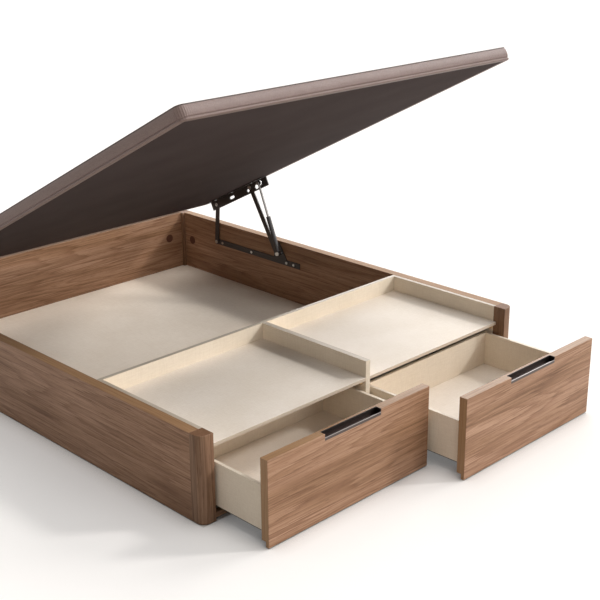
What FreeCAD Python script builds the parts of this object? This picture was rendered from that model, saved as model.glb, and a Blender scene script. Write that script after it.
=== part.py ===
import FreeCAD, Part
import math
import os
import re

# A storage bed base with a lift-up lid and two drawers in the foot end.
# X runs along the foot end, Y from foot to head, Z up; the origin is on the floor in the middle of the box.

# Driving sizes in millimetres: name, value, what it measures
SIZES = (
    ("box_width", 1550, "width of the box across the foot end"),
    ("box_length", 1960, "length of the box from foot to head"),
    ("box_height", 300, "top of the panels above the floor"),
    ("panel_thick", 38, "side and head panels"),
    ("edge_round", 1.5, "rounding of the walnut board edges"),
    ("post_width", 52, "corner post along X"),
    ("post_depth", 51, "corner post along Y"),
    ("post_round", 30, "outer vertical edge of a post"),
    ("glide_height", 3, "floor glides under the boards"),
    ("glide_radius", 7, "floor glides"),
    ("module_depth", 552, "front plane to the cross panel"),
    ("divider_thick", 22, "board between the drawers"),
    ("cross_thick", 16, "board behind the drawers"),
    ("tray_thick", 12, "boards over the drawers"),
    ("tray_drop", 60, "tray below the top of the box"),
    ("tray_setback", 38, "tray and divider behind the front plane"),
    ("cleat_side", 14, "square strips under the trays"),
    ("floor_thick", 10, "storage floor"),
    ("batten_height", 22, "battens under the storage floor"),
    ("batten_width", 45, "battens under the storage floor"),
    ("batten_inset", 60, "outer battens from the ends of the floor"),
    ("rail_height", 17, "front rail under the drawers"),
    ("rail_depth", 20, "front rail under the drawers"),
    ("cam_radius", 10, "cam discs in the panel ends"),
    ("cam_depth", 13, "cam discs in the panel ends"),
    ("cam_inset", 52, "cam disc from the end of a side panel"),
    ("head_cam_inset", 76, "cam disc from the end of the head panel"),
    ("cam_height", 172, "cam discs of the side panels above the floor"),
    ("cam_stagger", 14, "head panel cams above those of the sides"),
    ("cover_radius", 19, "round cover over a cam disc"),
    ("cover_thick", 1.5, "round cover over a cam disc"),
    ("dowel_radius", 3.5, "steel dowel of a cam"),
    ("dowel_reach", 22, "steel dowel inside the post"),
    ("bore_fit", 0.1, "radial room of cams, dowels and screws"),
    ("front_thick", 30, "drawer front"),
    ("front_gap", 2, "gaps around a drawer front"),
    ("front_lift", 4, "drawer front above the floor"),
    ("front_drop", 9, "drawer front below the top of the box"),
    ("skin_thick", 12, "drawer front where it covers the rail"),
    ("handle_length", 250, "finger recess along X"),
    ("handle_depth", 22, "finger recess along Y"),
    ("handle_height", 22, "finger recess along Z"),
    ("handle_sheet", 1.5, "metal of the handle"),
    ("handle_lip", 10.5, "front lip of the handle"),
    ("drawer_board", 12, "drawer sides and back"),
    ("drawer_gap", 12, "room for a runner beside the drawer"),
    ("drawer_lift", 46, "drawer sides above the floor"),
    ("drawer_room", 34, "drawer sides below the tray"),
    ("drawer_depth", 430, "drawer behind its front"),
    ("bottom_thick", 6, "drawer bottom"),
    ("bottom_lift", 14, "drawer bottom above the lower edge of the sides"),
    ("groove_depth", 5, "grooves for the drawer bottom"),
    ("left_pull", 231, "left drawer pulled out"),
    ("right_pull", 381, "right drawer pulled out"),
    ("strip_thick", 2, "steel strip under a drawer side"),
    ("strip_width", 30, "steel strip under a drawer side"),
    ("tab_length", 20, "tab that carries a rear roller"),
    ("channel_lift", 20, "fixed channel above the floor"),
    ("channel_sheet", 1.5, "metal of the fixed channel"),
    ("channel_width", 11, "fixed channel from its wall"),
    ("channel_start", 36, "fixed channel behind the front plane"),
    ("channel_length", 465, "fixed channel"),
    ("roller_radius", 9.3, "drawer rollers"),
    ("roller_width", 8, "drawer rollers"),
    ("roller_clear", 0.3, "room between a roller and its track"),
    ("axle_radius", 3, "roller axles"),
    ("axle_start", 42, "front roller axle behind the front plane"),
    ("axle_inset", 9, "rear roller axle from the drawer's rear end"),
    ("lid_side_margin", 25, "lid inside the box at each side"),
    ("lid_end_margin", 30, "lid inside the box at each end"),
    ("lid_thick", 47, "lid with its cover"),
    ("lid_corner", 40, "corners of the lid in plan"),
    ("lid_edge", 8, "rounding of the lid's upper edge"),
    ("lid_hem", 3, "rounding of the lid's lower edge"),
    ("lid_wrap", 6, "cover at the sides of the lid"),
    ("lid_pad", 12, "cover and padding on top of the lid"),
    ("lid_board_thick", 6, "board under the padding"),
    ("lid_cloth", 2, "cloth under the lid"),
    ("lid_rail", 60, "width of the lid's frame rails"),
    ("lid_rest_gap", 0.5, "closed lid above the panels"),
    ("rear_pivot_inset", 256, "rear lower pivot from the head panel"),
    ("rear_pivot_drop", 93, "rear lower pivot below the top of the box"),
    ("base_span", 412, "between the lower pivots of the arms"),
    ("front_pivot_drop", 63, "front lower pivot below the top of the box"),
    ("strut_ahead", 29, "lower strut pin ahead of the front lower pivot"),
    ("strut_drop", 51, "lower strut pin below the top of the box"),
    ("lid_pivot_inset", 93, "rear upper pivot from the head end of the lid"),
    ("lid_pivot_drop", 22, "rear upper pivot below the lid"),
    ("lid_span", 262, "between the upper pivots of the arms"),
    ("arm_pin_drop", 16, "front upper pin below the lid"),
    ("strut_pin_ahead", 80, "upper strut pin ahead of the front upper pin"),
    ("strut_pin_drop", 16, "upper strut pin below the lid"),
    ("link_thick", 4, "plates of the lift mechanism"),
    ("link_gap", 0.5, "between the plates of the lift mechanism"),
    ("link_width", 25, "arms and base bar of the lift mechanism"),
    ("base_nose", 142, "base bar ahead of the front lower pivot"),
    ("gusset_gap", 8, "gusset below the top of the box"),
    ("pin_radius", 4, "pivot pins"),
    ("pin_fit", 0.08, "radial room of a pivot pin"),
    ("pin_head", 8, "radius of a pivot pin's head"),
    ("head_thick", 2.5, "heads of pins and screws"),
    ("head_gap", 0.3, "pin head from the plate it holds"),
    ("slot_clear", 0.5, "room around a pin in its slot"),
    ("slot_head", 10, "radius of the head on a pin in a slot"),
    ("bracket_height", 42, "lid bracket below the lid"),
    ("bracket_nose", 48, "lid bracket ahead of the upper strut pin"),
    ("bracket_tail", 38, "lid bracket behind the rear upper pivot"),
    ("window_back", 123, "open slot of the lid bracket from the rear upper pivot"),
    ("window_length", 24, "open slot of the lid bracket"),
    ("window_radius", 6, "open slot of the lid bracket"),
    ("flange_width", 30, "flange of the lid bracket"),
    ("flange_thick", 3, "flange of the lid bracket"),
    ("screw_radius", 2.5, "shank of a mounting screw"),
    ("screw_head", 6, "head radius of a mounting screw"),
    ("screw_reach", 24, "mounting screw inside the wood"),
    ("strut_offset", 23, "strut axis from the side panel"),
    ("tube_radius", 10, "gas strut cylinder"),
    ("tube_length", 172, "gas strut cylinder from its pin"),
    ("stem_radius", 5, "gas strut rod"),
    ("stem_fit", 0.3, "radial room of the gas strut rod"),
    ("stem_floor", 40, "end of the rod from the lower pin, lid closed"),
    ("eye_radius", 9, "end eyes of the gas strut"),
    ("eye_width", 12, "end eyes of the gas strut"),
)
# Lid angle of the open bed, in degrees
OPEN_ANGLE = 26.85
# Screws of a base bar, from the rear lower pivot towards the foot end
BASE_SCREWS = (38, 239, 471, 517)
# Screws of a lid bracket, from the rear upper pivot towards the foot end
BRACKET_SCREWS = (25, 155, 302)
# Closer than this, two planes count as one
TOUCH = 0.01
SIDES = ((-1, "left"), (1, "right"))
ENDS = ((-1, "front"), (1, "rear"))

doc = FreeCAD.newDocument("StorageBedBase")
sheet = doc.addObject("Spreadsheet::Sheet", "Sizes")
for row, (alias, size, note) in enumerate(SIZES, start=1):
    sheet.set(f"A{row}", note)
    sheet.set(f"B{row}", str(size))
    sheet.setAlias(f"B{row}", alias)
doc.recompute()
ALIASES = {alias for alias, size, note in SIZES}
pieces = []


def mm(alias):
    """One driving size as a number."""
    return float(sheet.get(alias))


def bound(formula):
    """A formula of size names, written for the expression engine."""
    return re.sub(
        r"[a-z][a-z_]+",
        lambda word: f"Sizes.{word.group()}" if word.group() in ALIASES else word.group(),
        str(formula),
    )


def span(side, low, high, wall="0", inward=1):
    """An X span measured from a wall of the right half, mirrored for the left half."""
    sign = side * inward
    ends = [f"{side} * ({wall}) + {sign} * ({place})" for place in (low, high)]
    return tuple(ends) if sign > 0 else tuple(reversed(ends))


def block(name, x, y, z):
    """A box over three spans."""
    box = doc.addObject("Part::Box", name)
    for axis, length, (low, high) in zip("xyz", ("Length", "Width", "Height"), (x, y, z)):
        box.setExpression(f"Placement.Base.{axis}", bound(low))
        box.setExpression(length, bound(f"({high}) - ({low})"))
    return box


TURNS = {
    "x": FreeCAD.Rotation(FreeCAD.Vector(0, 1, 0), 90),
    "y": FreeCAD.Rotation(FreeCAD.Vector(1, 0, 0), -90),
    "z": FreeCAD.Rotation(),
}


def rod(name, axis, reach, centre, radius):
    """A cylinder along an axis; centre holds its two other coordinates."""
    cylinder = doc.addObject("Part::Cylinder", name)
    cylinder.Placement = FreeCAD.Placement(FreeCAD.Vector(), TURNS[axis])
    cylinder.setExpression(f"Placement.Base.{axis}", bound(reach[0]))
    for letter, place in zip("xyz".replace(axis, ""), centre):
        cylinder.setExpression(f"Placement.Base.{letter}", bound(place))
    cylinder.setExpression("Height", bound(f"({reach[1]}) - ({reach[0]})"))
    cylinder.setExpression("Radius", bound(radius))
    return cylinder


def fuse(name, shapes):
    """Several shapes joined into one solid."""
    joined = doc.addObject("Part::MultiFuse", name)
    joined.Shapes = shapes
    joined.Refine = True
    return joined


def cut(name, base, tools):
    """A shape with other shapes taken away."""
    result = doc.addObject("Part::Cut", name)
    result.Base = base
    result.Tool = tools[0] if len(tools) == 1 else fuse(f"{name}_tools", tools)
    result.Refine = True
    return result


def group(name, shapes):
    """Several solids of one kind under one name."""
    together = doc.addObject("Part::Compound", name)
    together.Links = shapes
    return together


def rounded(name, base, radius, chosen):
    """A shape with the chosen edges rounded."""
    doc.recompute()
    soft = doc.addObject("Part::Fillet", name)
    soft.Base = base
    numbers = [number for number, edge in enumerate(base.Shape.Edges, 1) if chosen(edge)]
    soft.Edges = [(number, radius, radius) for number in numbers]
    return soft


def upright(edge):
    """Tells whether an edge is vertical."""
    return edge.BoundBox.ZLength > edge.Length - TOUCH


def topmost(base):
    """A test for the edges in the top face of a shape."""
    doc.recompute()
    top = base.Shape.BoundBox.ZMax
    return lambda edge: edge.BoundBox.ZMin > top - TOUCH


def keep(piece, placement=None):
    """Lists a finished piece, placed where it belongs."""
    if placement:
        piece.Placement = placement
    pieces.append(piece)
    return piece


# Planes of the right half, as formulas
HALF_WIDTH = "(box_width / 2)"
HALF_LENGTH = "(box_length / 2)"
SIDE_IN = "(box_width / 2 - panel_thick)"
HEAD_IN = "(box_length / 2 - panel_thick)"
POST_X = "(box_width / 2 - post_width)"
POST_Y = "(box_length / 2 - post_depth)"
FRONT = "(-box_length / 2)"
CROSS_FRONT = "(module_depth - box_length / 2)"
CROSS_BACK = "(module_depth + cross_thick - box_length / 2)"
TRAY_FRONT = "(tray_setback - box_length / 2)"
TRAY_TOP = "(box_height - tray_drop)"
TRAY_UNDER = "(box_height - tray_drop - tray_thick)"
UPRIGHT = ("glide_height", "box_height")
HALF_DIVIDER = "(divider_thick / 2)"
RAIL_FRONT = f"({FRONT} + skin_thick + front_gap)"
RAIL_TOP = "(glide_height + rail_height)"

# Linkage of the lid, in the Y-Z plane. The lid has coordinates of its own: s from its foot end, h above its
# underside.
LID_LENGTH = mm("box_length") - 2 * mm("lid_end_margin")
REAR_PIVOT = (
    mm("box_length") / 2 - mm("panel_thick") - mm("rear_pivot_inset"),
    mm("box_height") - mm("rear_pivot_drop"),
)
FRONT_PIVOT = (REAR_PIVOT[0] - mm("base_span"), mm("box_height") - mm("front_pivot_drop"))
STRUT_PIVOT = (FRONT_PIVOT[0] - mm("strut_ahead"), mm("box_height") - mm("strut_drop"))
LID_PIVOT = (LID_LENGTH - mm("lid_pivot_inset"), -mm("lid_pivot_drop"))
ARM_PIN = (LID_PIVOT[0] - mm("lid_span"), -mm("arm_pin_drop"))
STRUT_PIN = (ARM_PIN[0] - mm("strut_pin_ahead"), -mm("strut_pin_drop"))
CLOSED = (0.0, -LID_LENGTH / 2, mm("box_height") + mm("lid_rest_gap"))


def turned(angle, point):
    """A lid vector in Y and Z when the foot end is raised by an angle in radians."""
    s, h = point
    return (s * math.cos(angle) + h * math.sin(angle), h * math.cos(angle) - s * math.sin(angle))


def on_lid(pose, point):
    """A lid point in Y and Z; a pose is the lid's angle and its origin."""
    y, z = turned(pose[0], point)
    return (pose[1] + y, pose[2] + z)


def polar(start, end):
    """Length and angle of the line between two points."""
    return math.dist(start, end), math.atan2(end[1] - start[1], end[0] - start[0])


def at(start, length, angle):
    """The point at a length and an angle from a start."""
    return (start[0] + length * math.cos(angle), start[1] + length * math.sin(angle))


def pose_from(angle, pivot):
    """The lid's pose at an angle when its rear pivot is at a point."""
    y, z = turned(angle, LID_PIVOT)
    return (angle, pivot[0] - y, pivot[1] - z)


def open_pose():
    """The open lid: both arms reach their pins at the open angle."""
    angle = math.radians(OPEN_ANGLE)
    across = turned(angle, (ARM_PIN[0] - LID_PIVOT[0], ARM_PIN[1] - LID_PIVOT[1]))
    other = (FRONT_PIVOT[0] - across[0], FRONT_PIVOT[1] - across[1])
    rear_length = math.dist(REAR_PIVOT, on_lid(CLOSED, LID_PIVOT))
    front_length = math.dist(FRONT_PIVOT, on_lid(CLOSED, ARM_PIN))
    distance, direction = polar(REAR_PIVOT, other)
    cosine = (rear_length**2 + distance**2 - front_length**2) / (2 * rear_length * distance)
    return pose_from(angle, at(REAR_PIVOT, rear_length, direction - math.acos(cosine)))


OPEN = open_pose()
REAR_LENGTH, REAR_OPEN = polar(REAR_PIVOT, on_lid(OPEN, LID_PIVOT))
REAR_CLOSED = polar(REAR_PIVOT, on_lid(CLOSED, LID_PIVOT))[1]
FRONT_LENGTH, FRONT_OPEN = polar(FRONT_PIVOT, on_lid(OPEN, ARM_PIN))
FRONT_CLOSED = polar(FRONT_PIVOT, on_lid(CLOSED, ARM_PIN))[1]
STRUT_OPEN = polar(STRUT_PIVOT, on_lid(OPEN, STRUT_PIN))
STRUT_CLOSED = polar(STRUT_PIVOT, on_lid(CLOSED, STRUT_PIN))


def between(start, end, share):
    """A value part of the way from start to end."""
    return start + (end - start) * share


def pin_paths(steps=60):
    """Paths of the front arm's pin and the strut's pin over the bracket, from open to closed."""
    paths = ([], [])
    for step in range(steps + 1):
        share = step / steps
        pivot = at(REAR_PIVOT, REAR_LENGTH, between(REAR_OPEN, REAR_CLOSED, share))
        angle, y, z = pose_from(between(OPEN[0], CLOSED[0], share), pivot)
        arm_pin = at(FRONT_PIVOT, FRONT_LENGTH, between(FRONT_OPEN, FRONT_CLOSED, share))
        strut = [between(first, last, share) for first, last in zip(STRUT_OPEN, STRUT_CLOSED)]
        for path, pin in zip(paths, (arm_pin, at(STRUT_PIVOT, *strut))):
            path.append(turned(-angle, (pin[0] - y, pin[1] - z)))
    return paths


def slot(name, x, path):
    """A slot around the path of a pin over the bracket."""
    start = path[0]
    far = max(path, key=lambda point: math.dist(start, point))
    length, angle = polar(start, far)
    sideways = [
        (point[1] - start[1]) * math.cos(angle) - (point[0] - start[0]) * math.sin(angle) for point in path
    ]
    radius = mm("pin_radius") + mm("slot_clear") + (max(sideways) - min(sideways)) / 2
    shift = (max(sideways) + min(sideways)) / 2
    first = (start[0] - shift * math.sin(angle), start[1] + shift * math.cos(angle))
    shape = fuse(name, [
        block(f"{name}_middle", x, ("0", length), (-radius, radius)),
        rod(f"{name}_start", "x", x, ("0", "0"), radius),
        rod(f"{name}_end", "x", x, (length, "0"), radius),
    ])
    shape.Placement = placed(first, angle)
    return shape


def placed(point, angle):
    """A placement at a point of the Y-Z plane, turned by an angle about X."""
    turn = FreeCAD.Rotation(FreeCAD.Vector(1, 0, 0), math.degrees(angle))
    return FreeCAD.Placement(FreeCAD.Vector(0, point[0], point[1]), turn)


# Corner fittings: a cam disc in each panel end, a steel dowel from it into the post, and a cover where the
# cam shows
cams = []
covers = []
panel_bores = {"left": [], "right": [], "head": []}
post_bores = {}
for side, word in SIDES:
    for end, place in ENDS:
        name = f"cam_{place}_{word}"
        face = span(side, SIDE_IN, f"{SIDE_IN} + cam_depth")
        centre = (f"{end} * ({POST_Y} - cam_inset)", "cam_height")
        line = (f"{side} * ({SIDE_IN} + cam_depth / 2)", "cam_height")
        reach = span(end, f"{POST_Y} - cam_inset + cam_radius + bore_fit", f"{POST_Y} + dowel_reach")
        bore_reach = span(end, f"{POST_Y} - cam_inset", f"{POST_Y} + dowel_reach")
        cams.append(rod(f"{name}_disc", "x", face, centre, "cam_radius"))
        cams.append(rod(f"{name}_dowel", "y", reach, line, "dowel_radius"))
        panel_bores[word].append(rod(f"{name}_bore", "x", face, centre, "cam_radius + bore_fit"))
        channel = rod(f"{name}_channel", "y", bore_reach, line, "dowel_radius + bore_fit")
        panel_bores[word].append(channel)
        post_bores[place, word] = [channel]
    name = f"cam_head_{word}"
    height = "cam_height + cam_stagger"
    face = (HEAD_IN, f"{HEAD_IN} + cam_depth")
    centre = (f"{side} * ({POST_X} - head_cam_inset)", height)
    line = (f"{HEAD_IN} + cam_depth / 2", height)
    reach = span(side, f"{POST_X} - head_cam_inset + cam_radius + bore_fit", f"{POST_X} + dowel_reach")
    bore_reach = span(side, f"{POST_X} - head_cam_inset", f"{POST_X} + dowel_reach")
    cams.append(rod(f"{name}_disc", "y", face, centre, "cam_radius"))
    cams.append(rod(f"{name}_dowel", "x", reach, line, "dowel_radius"))
    panel_bores["head"].append(rod(f"{name}_bore", "y", face, centre, "cam_radius + bore_fit"))
    channel = rod(f"{name}_channel", "x", bore_reach, line, "dowel_radius + bore_fit")
    panel_bores["head"].append(channel)
    post_bores["rear", word].append(channel)
    covers.append(rod(f"{name}_cover", "y", (f"{HEAD_IN} - cover_thick", HEAD_IN), centre, "cover_radius"))
    covers.append(rod(
        f"cam_rear_{word}_cover", "x", span(side, f"{SIDE_IN} - cover_thick", SIDE_IN),
        (f"{POST_Y} - cam_inset", "cam_height"), "cover_radius",
    ))
keep(group("cam_fittings", cams))
keep(group("cam_covers", covers))

# Panels and posts of the box; the side panels also take the screws of the lift bases
base_screws = []
for side, word in SIDES:
    bores = panel_bores[word]
    for number, back in enumerate(BASE_SCREWS, 1):
        name = f"base_screw_{word}_{number}"
        centre = (REAR_PIVOT[0] - back, REAR_PIVOT[1])
        shank = span(side, "-screw_reach", "link_thick", SIDE_IN, -1)
        head = span(side, "link_thick", "link_thick + head_thick", SIDE_IN, -1)
        base_screws.append(fuse(name, [
            rod(f"{name}_shank", "x", shank, centre, "screw_radius"),
            rod(f"{name}_head", "x", head, centre, "screw_head"),
        ]))
        bores.append(rod(f"{name}_bore", "x", shank, centre, "screw_radius + bore_fit"))
    board = block(
        f"side_board_{word}", span(side, SIDE_IN, HALF_WIDTH), (f"-{POST_Y}", POST_Y), UPRIGHT
    )
    soft = rounded(f"side_edges_{word}", board, mm("edge_round"), topmost(board))
    keep(cut(f"side_panel_{word}", soft, bores))
keep(group("lift_base_screws", base_screws))

board = block("head_board", (f"-{POST_X}", POST_X), (HEAD_IN, HALF_LENGTH), UPRIGHT)
soft = rounded("head_edges", board, mm("edge_round"), topmost(board))
keep(cut("head_panel", soft, panel_bores["head"]))

for side, word in SIDES:
    for end, place in ENDS:
        name = f"post_{place}_{word}"
        board = block(
            f"{name}_board", span(side, POST_X, HALF_WIDTH), span(end, POST_Y, HALF_LENGTH), UPRIGHT
        )
        corner = FreeCAD.Vector(
            side * mm("box_width") / 2, end * mm("box_length") / 2, mm("box_height") / 2
        )
        curved = rounded(
            f"{name}_corner", board, mm("post_round"),
            lambda edge: upright(edge) and edge.CenterOfMass.distanceToPoint(corner) < mm("post_width") / 2,
        )
        soft = rounded(f"{name}_edges", curved, mm("edge_round"), topmost(curved))
        keep(cut(name, soft, post_bores[place, word]))

keep(block(
    "front_rail", (f"-{POST_X}", POST_X), (RAIL_FRONT, f"{RAIL_FRONT} + rail_depth"),
    ("glide_height", RAIL_TOP),
))

# Boards of the drawer module: cross panel, divider, cheeks flush with the posts, trays on cleats
keep(block("cross_panel", (f"-{SIDE_IN}", SIDE_IN), (CROSS_FRONT, CROSS_BACK), UPRIGHT))
keep(block("centre_divider", (f"-{HALF_DIVIDER}", HALF_DIVIDER), (TRAY_FRONT, CROSS_FRONT), UPRIGHT))
cleats = []
for side, word in SIDES:
    keep(block(f"cheek_{word}", span(side, POST_X, SIDE_IN), (f"-{POST_Y}", CROSS_FRONT), UPRIGHT))
    keep(block(
        f"tray_{word}", span(side, HALF_DIVIDER, POST_X), (TRAY_FRONT, CROSS_FRONT), (TRAY_UNDER, TRAY_TOP)
    ))
    for inward, wall, place in ((1, HALF_DIVIDER, "inner"), (-1, POST_X, "outer")):
        cleats.append(block(
            f"cleat_{word}_{place}", span(side, "0", "cleat_side", wall, inward),
            (f"{TRAY_FRONT} + cleat_side", CROSS_FRONT), (f"{TRAY_UNDER} - cleat_side", TRAY_UNDER),
        ))
keep(group("tray_cleats", cleats))

# Storage floor, cut out around the rear posts, on three battens
floor_board = block(
    "floor_board", (f"-{SIDE_IN}", SIDE_IN), (CROSS_BACK, HEAD_IN),
    ("batten_height", "batten_height + floor_thick"),
)
corners = [
    block(f"floor_corner_{word}", span(side, POST_X, SIDE_IN), (POST_Y, HEAD_IN), ("0", "box_height"))
    for side, word in SIDES
]
keep(cut("storage_floor", floor_board, corners))
BATTENS = (f"{CROSS_BACK} + batten_inset", "0", f"{HEAD_IN} - batten_inset")
keep(group("floor_battens", [
    block(
        f"batten_{number}", (f"-{SIDE_IN}", SIDE_IN),
        (f"{middle} - batten_width / 2", f"{middle} + batten_width / 2"), ("0", "batten_height"),
    )
    for number, middle in enumerate(BATTENS, 1)
]))

# Floor glides under the posts and boards
glide_places = [
    (f"{side} * ({HALF_WIDTH} - post_width / 2)", f"{end} * ({HALF_LENGTH} - post_depth / 2)")
    for side, word in SIDES for end, place in ENDS
]
glide_places += [(f"{side} * ({SIDE_IN} + panel_thick / 2)", "0") for side, word in SIDES]
glide_places += [
    ("0", f"{HEAD_IN} + panel_thick / 2"),
    ("0", f"{RAIL_FRONT} + rail_depth / 2"),
    ("0", f"({TRAY_FRONT} + {CROSS_FRONT}) / 2"),
]
keep(group("floor_glides", [
    rod(f"glide_{number}", "z", ("0", "glide_height"), centre, "glide_radius")
    for number, centre in enumerate(glide_places, 1)
]))

# Drawers on roller runners. Each runner has a fixed channel with a front roller, and a strip on the drawer
# with a rear roller that runs inside the channel.
STRIP_UNDER = "(drawer_lift - strip_thick)"
FRONT_AXLE = (f"({FRONT} + axle_start)", f"({STRIP_UNDER} - roller_clear - roller_radius)")
REAR_AXLE_HEIGHT = "(channel_lift + channel_sheet + roller_clear + roller_radius)"
CHANNEL_TOP = f"({REAR_AXLE_HEIGHT} + roller_radius + 2 * roller_clear + channel_sheet)"
CHANNEL_RUN = (f"{FRONT} + channel_start", f"{FRONT} + channel_start + channel_length")
TAB_REACH = "(drawer_gap + strip_thick)"
ROLLER_IN = f"({TAB_REACH} + 3 * roller_clear)"
BOTTOM_UNDER = "(drawer_lift + bottom_lift)"
BOTTOM_TOP = "(drawer_lift + bottom_lift + bottom_thick)"
FRONT_TOP = "(box_height - front_drop)"
RABBET_TOP = f"({RAIL_TOP} + front_gap)"
DRAWER_TOP = f"({TRAY_UNDER} - drawer_room)"


def roller(name, x, centre):
    """A roller with a bore that turns on its axle."""
    tyre = rod(f"{name}_tyre", "x", x, centre, "roller_radius")
    return cut(name, tyre, [rod(f"{name}_bore", "x", x, centre, "axle_radius + pin_fit")])


for side, word in SIDES:
    drawer = f"drawer_{word}"
    face = f"({FRONT} - {word}_pull)"
    back_of_front = f"({face} + front_thick)"
    rear = f"({face} + front_thick + drawer_depth)"
    depth = (back_of_front, rear)
    walls = ((1, HALF_DIVIDER, "inner"), (-1, POST_X, "outer"))

    # Front with a rabbet over the rail and a recess for the handle
    width = span(side, "front_gap", f"{POST_X} - front_gap")
    board = block(f"{drawer}_board", width, (face, back_of_front), ("front_lift", FRONT_TOP))
    doc.recompute()
    plane = board.Shape.BoundBox.YMin
    soft = rounded(
        f"{drawer}_edges", board, mm("edge_round"), lambda edge: edge.BoundBox.YMax < plane + TOUCH
    )
    middle = f"({POST_X} / 2)"
    recess_x = span(side, f"{middle} - handle_length / 2", f"{middle} + handle_length / 2")
    inside_x = (f"{recess_x[0]} + handle_sheet", f"{recess_x[1]} - handle_sheet")
    recess_low = f"({FRONT_TOP} - handle_height)"
    recess = (recess_x, (face, f"{face} + handle_depth"), (recess_low, FRONT_TOP))
    keep(cut(f"{drawer}_front", soft, [
        block(
            f"{drawer}_rabbet", width, (f"{face} + skin_thick", back_of_front), ("front_lift", RABBET_TOP)
        ),
        block(f"{drawer}_recess", *recess),
    ]))
    keep(cut(f"{drawer}_handle", block(f"{drawer}_handle_outer", *recess), [
        block(
            f"{drawer}_handle_inside", inside_x,
            (f"{face} + handle_sheet", f"{face} + handle_depth - handle_sheet"),
            (f"{recess_low} + handle_sheet", FRONT_TOP),
        ),
        block(
            f"{drawer}_handle_mouth", inside_x, (face, f"{face} + 2 * handle_sheet"),
            (f"{recess_low} + handle_lip", FRONT_TOP),
        ),
    ]))

    # Box of the drawer: sides grooved for the bottom, back standing on the bottom
    boards = []
    for inward, wall, place in walls:
        name = f"{drawer}_side_{place}"
        side_x = span(side, "drawer_gap", "drawer_gap + drawer_board", wall, inward)
        groove_x = span(
            side, "drawer_gap + drawer_board - groove_depth", "drawer_gap + drawer_board", wall, inward
        )
        boards.append(cut(
            name, block(f"{name}_board", side_x, depth, ("drawer_lift", DRAWER_TOP)),
            [block(f"{name}_groove", groove_x, depth, (BOTTOM_UNDER, BOTTOM_TOP))],
        ))
    keep(group(f"{drawer}_sides", boards))
    low = f"{HALF_DIVIDER} + drawer_gap + drawer_board"
    high = f"{POST_X} - drawer_gap - drawer_board"
    keep(block(
        f"{drawer}_back", span(side, low, high), (f"{rear} - drawer_board", rear),
        (BOTTOM_TOP, DRAWER_TOP),
    ))
    keep(block(
        f"{drawer}_bottom", span(side, f"{low} - groove_depth", f"{high} + groove_depth"), depth,
        (BOTTOM_UNDER, BOTTOM_TOP),
    ))

    # Runners
    rear_axle = (f"{rear} - axle_inset", REAR_AXLE_HEIGHT)
    roller_rear = (
        "(channel_sheet + 2 * roller_clear)", "(channel_sheet + 2 * roller_clear + roller_width)"
    )
    roller_front = (ROLLER_IN, f"({ROLLER_IN} + roller_width)")
    strips = []
    channels = []
    front_rollers = []
    rear_rollers = []
    for inward, wall, place in walls:
        name = f"{drawer}_{place}"
        runner = {"wall": wall, "inward": inward}
        strips.append(fuse(f"{name}_rail", [
            block(
                f"{name}_strip", span(side, "drawer_gap", "drawer_gap + strip_width", **runner),
                (f"{back_of_front} + front_gap", rear), (STRIP_UNDER, "drawer_lift"),
            ),
            block(
                f"{name}_tab", span(side, "drawer_gap", TAB_REACH, **runner),
                (f"{rear} - tab_length", rear), (f"{REAR_AXLE_HEIGHT} - 2 * axle_radius", "drawer_lift"),
            ),
            rod(
                f"{name}_rear_axle", "x", span(side, roller_rear[0], TAB_REACH, **runner),
                rear_axle, "axle_radius",
            ),
        ]))
        channels.append(fuse(f"{name}_channel", [
            block(
                f"{name}_web", span(side, "0", "channel_sheet", **runner), CHANNEL_RUN,
                ("channel_lift", CHANNEL_TOP),
            ),
            block(
                f"{name}_lower", span(side, "0", "channel_width", **runner), CHANNEL_RUN,
                ("channel_lift", "channel_lift + channel_sheet"),
            ),
            block(
                f"{name}_upper", span(side, "0", "channel_width", **runner), CHANNEL_RUN,
                (f"{CHANNEL_TOP} - channel_sheet", CHANNEL_TOP),
            ),
            rod(
                f"{name}_front_axle", "x", span(side, "0", f"{roller_front[1]} + channel_sheet", **runner),
                FRONT_AXLE, "axle_radius",
            ),
        ]))
        front_x = span(side, *roller_front, **runner)
        rear_x = span(side, *roller_rear, **runner)
        front_rollers.append(roller(f"{name}_front_roller", front_x, FRONT_AXLE))
        rear_rollers.append(roller(f"{name}_rear_roller", rear_x, rear_axle))
    keep(group(f"{drawer}_rails", strips))
    keep(group(f"runner_channels_{word}", channels))
    keep(group(f"{drawer}_front_rollers", front_rollers))
    keep(group(f"{drawer}_rear_rollers", rear_rollers))

# Lift mechanism at each side: base plate, rear arm, front arm and lid bracket lie in layers from the side
# panel inwards, and the gas strut further in
LAYER = "(link_thick + link_gap)"
BRACKET_FACE = f"(2 * {LAYER} + link_thick)"
EYE = ("(strut_offset - eye_width / 2)", "(strut_offset + eye_width / 2)")
HOLE = "pin_radius + pin_fit"
lid_place = placed((OPEN[1], OPEN[2]), -OPEN[0])
rear_place = placed(REAR_PIVOT, REAR_OPEN)
front_place = placed(FRONT_PIVOT, FRONT_OPEN)
strut_place = placed(STRUT_PIVOT, STRUT_OPEN[1])
arm_path, strut_path = pin_paths()
base_pins = []
lid_pins = []
arm_pins = []
strut_pins = []
bracket_screws = []
lid_bores = []


def pin(name, side, start, end, centre, head):
    """A pivot pin across the layers with a head at its inner end."""
    return fuse(name, [
        rod(f"{name}_shank", "x", span(side, start, end, SIDE_IN, -1), centre, "pin_radius"),
        rod(f"{name}_head", "x", span(side, end, f"{end} + head_thick", SIDE_IN, -1), centre, head),
    ])


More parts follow.
